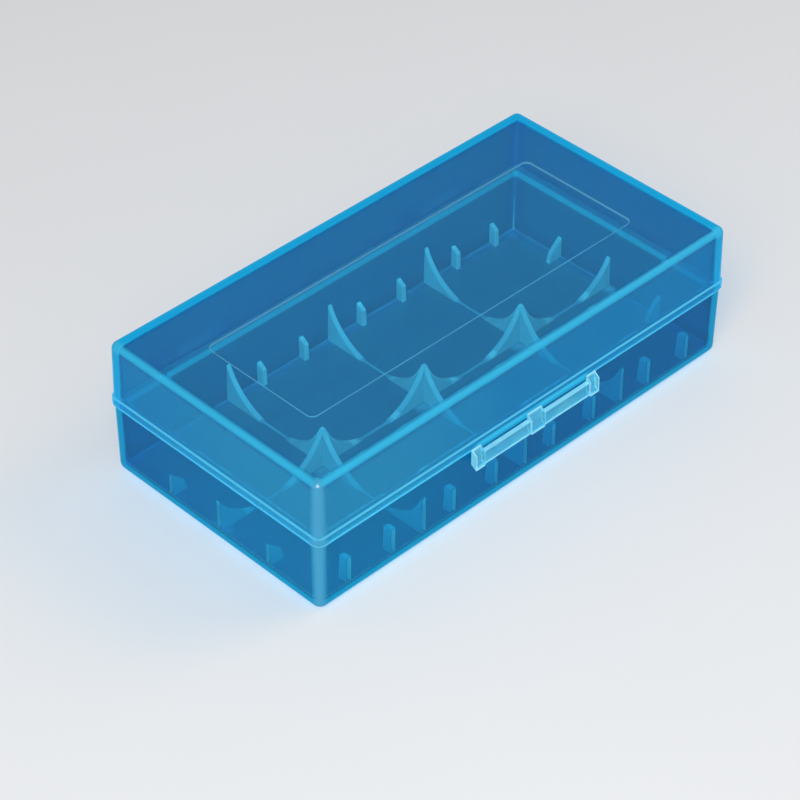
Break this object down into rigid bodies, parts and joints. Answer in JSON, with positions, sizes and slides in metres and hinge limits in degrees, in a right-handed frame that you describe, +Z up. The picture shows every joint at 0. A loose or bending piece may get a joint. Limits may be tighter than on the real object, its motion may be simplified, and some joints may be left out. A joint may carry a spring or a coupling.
{
  "type": "battery storage case",
  "caption": "Shallow translucent plastic snap case with a hinged lid, crossing cradle plates for loose cylindrical cells and a front latch.",
  "frame": {"origin": "centre of the tray's flat underside, on the surface that it rests on", "axes": "+X along the case, +Y from the latch to the hinge, +Z up"},
  "size_m": [0.0774, 0.0447, 0.0217],
  "materials": {
    "base_plastic": "translucent satin polypropylene",
    "lid_plastic": "translucent satin polypropylene",
    "latch_plastic": "clear, faintly blue"
  },
  "bodies": {
    "tray": {"base_tray": "base_plastic"},
    "lid": {"lid": "lid_plastic"},
    "latch": {"front_latch": "latch_plastic"}
  },
  "joints": [
    {"name": "lid_hinge", "type": "hinge", "parent": "tray", "child": "lid", "pos_m": [0, 0.0219, 0.01132], "axis": [-1, 0, 0], "range_deg": [0, 180]},
    {"name": "latch_flex", "type": "hinge", "parent": "lid", "child": "latch", "pos_m": [0, -0.02032, 0.0119], "axis": [-1, 0, 0], "range_deg": [0, 15], "stiffness_Nm_per_rad": 0.01}
  ]
}
